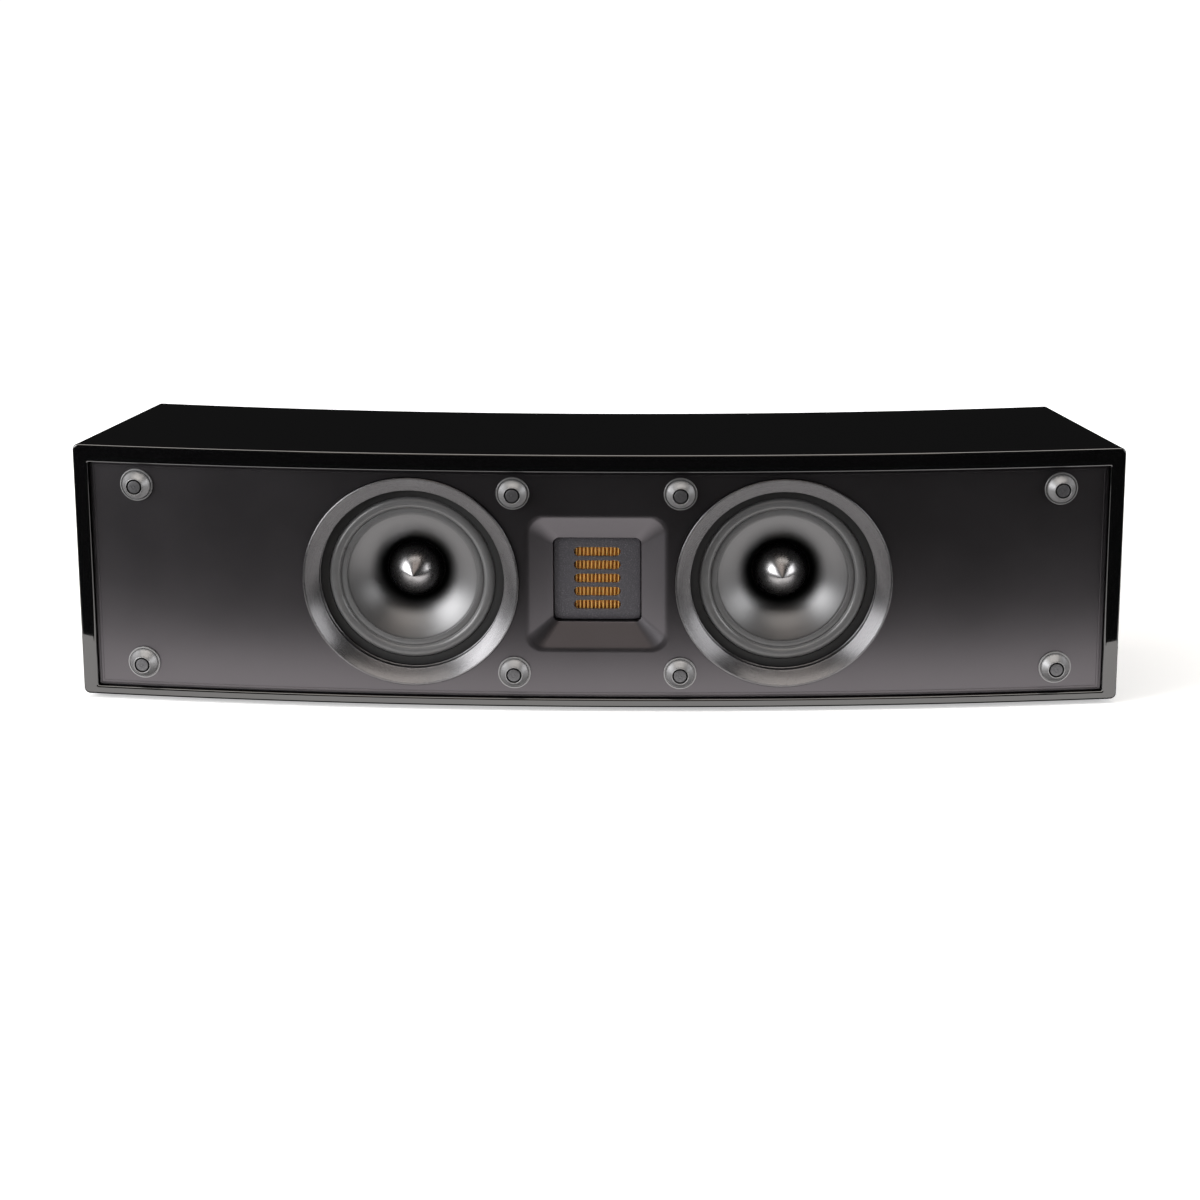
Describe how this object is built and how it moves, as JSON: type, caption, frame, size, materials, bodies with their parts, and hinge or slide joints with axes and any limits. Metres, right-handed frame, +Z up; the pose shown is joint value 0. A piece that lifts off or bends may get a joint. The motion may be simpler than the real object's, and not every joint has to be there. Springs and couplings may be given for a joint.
{
  "type": "centre channel speaker",
  "caption": "Low wide loudspeaker cabinet with a bowed front: metal cone woofers with bullet phase plugs beside a square flared tweeter with a pleated film behind slots.",
  "frame": {"origin": "on the floor under the middle of the bounding box", "axes": "+X to the right seen from the front, -Y out of the front, +Z up"},
  "size_m": [0.68, 0.131, 0.174],
  "materials": {
    "baffle_satin": "satin graphite anodised",
    "basket_cast": "cast, black painted",
    "black_gloss_plastic": "gloss black",
    "black_plastic": "fine matte",
    "capacitor_sleeve": "shrink sleeve",
    "circuit_board": "solder mask",
    "coil_copper": "enamelled copper wire",
    "cone_metal": "satin spun metal",
    "felt": "felt",
    "ferrite": "ground ferrite",
    "film_gold": "metallised amber film",
    "foot_rubber": "matte rubber",
    "gasket_foam": "matte black foam rubber",
    "lacquer": "gloss black lacquer on fibreboard",
    "magnet_face": "speckled grey",
    "motor_steel": "plated steel",
    "plug_black_chrome": "polished black chrome",
    "post_aluminium": "turned, fine satin",
    "raw_board": "raw fibreboard",
    "rear_board": "matte black paint on fibreboard",
    "red_plastic": "clear red",
    "resistor_ceramic": "cast ceramic",
    "ring_brushed": "turned, circular brush lines",
    "roll_rubber": "satin rubber",
    "screw_black": "black oxide",
    "slotted_plate": "fine sand texture",
    "spider_cloth": "impregnated cloth",
    "terminal_brass": "gold plated",
    "wire_sleeve": "soft sleeve"
  },
  "bodies": {
    "cabinet": {"baffle_board": "raw_board", "baffle_plate": "baffle_satin", "basket_left": "basket_cast", "basket_right": "basket_cast", "binding_studs": "terminal_brass", "brace_left": "raw_board", "brace_right": "raw_board", "cabinet_shell": "lacquer", "crossover_board": "circuit_board", "crossover_capacitors": "capacitor_sleeve", "crossover_chokes": "coil_copper", "crossover_resistors": "resistor_ceramic", "crossover_spacers": "black_plastic", "damping_pad_left": "felt", "damping_pad_right": "felt", "feet": "foot_rubber", "gasket_left": "gasket_foam", "gasket_right": "gasket_foam", "grille_magnets": "magnet_face", "grille_posts": "post_aluminium", "lead_wires": "wire_sleeve", "magnet_left": "ferrite", "magnet_right": "ferrite", "phase_plug_left": "plug_black_chrome", "phase_plug_right": "plug_black_chrome", "post_collar_black": "black_gloss_plastic", "post_collar_red": "red_plastic", "rear_panel": "rear_board", "spider_left": "spider_cloth", "spider_right": "spider_cloth", "surround_left": "roll_rubber", "surround_right": "roll_rubber", "terminal_hex_nuts": "terminal_brass", "terminal_plate": "black_plastic", "terminal_screws": "screw_black", "top_plate_left": "motor_steel", "top_plate_right": "motor_steel", "trim_ring_left": "ring_brushed", "trim_ring_right": "ring_brushed", "tweeter_back_plate": "motor_steel", "tweeter_bar_magnets": "ferrite", "tweeter_felt": "felt", "tweeter_film": "film_gold", "tweeter_film_frame": "black_plastic", "tweeter_front_plate": "slotted_plate", "tweeter_rear_cover": "black_plastic", "tweeter_screws": "screw_black", "woofer_screws_left": "screw_black", "woofer_screws_right": "screw_black", "woofer_tags": "black_plastic", "yoke_left": "motor_steel", "yoke_right": "motor_steel"},
    "cone_left": {"cone_left": "cone_metal", "voice_coil_left": "coil_copper"},
    "cone_right": {"cone_right": "cone_metal", "voice_coil_right": "coil_copper"},
    "insert_red": {"nut_insert_red": "terminal_brass"},
    "insert_black": {"nut_insert_black": "terminal_brass"},
    "thumb_red": {"thumb_nut_red": "red_plastic"},
    "thumb_black": {"thumb_nut_black": "black_gloss_plastic"}
  },
  "joints": [
    {"name": "cone_left_stroke", "type": "slide", "parent": "cabinet", "child": "cone_left", "axis": [-0.0472, -0.9989, 0], "range_m": [-0.004, 0.004], "stiffness_N_per_m": 900, "deforming": ["surround_left", "spider_left"]},
    {"name": "cone_right_stroke", "type": "slide", "parent": "cabinet", "child": "cone_right", "axis": [0.0472, -0.9989, 0], "range_m": [-0.004, 0.004], "stiffness_N_per_m": 900, "deforming": ["surround_right", "spider_right"]},
    {"name": "thumb_red_travel", "type": "slide", "parent": "cabinet", "child": "insert_red", "axis": [0, 1, 0], "range_m": [0, 0.0024]},
    {"name": "thumb_red_turn", "type": "hinge", "parent": "insert_red", "child": "thumb_red", "pos_m": [0.0095, 0.06095, 0.0864], "axis": [0, 1, 0], "range_deg": [-8, 1088]},
    {"name": "thumb_black_travel", "type": "slide", "parent": "cabinet", "child": "insert_black", "axis": [0, 1, 0], "range_m": [0, 0.0024]},
    {"name": "thumb_black_turn", "type": "hinge", "parent": "insert_black", "child": "thumb_black", "pos_m": [-0.0095, 0.06095, 0.0864], "axis": [0, 1, 0], "range_deg": [-8, 1088]}
  ],
  "couplings": [
    {"joint": "thumb_red_turn", "follows": "thumb_red_travel", "rad_per_m": 7854},
    {"joint": "thumb_black_turn", "follows": "thumb_black_travel", "rad_per_m": 7854}
  ]
}
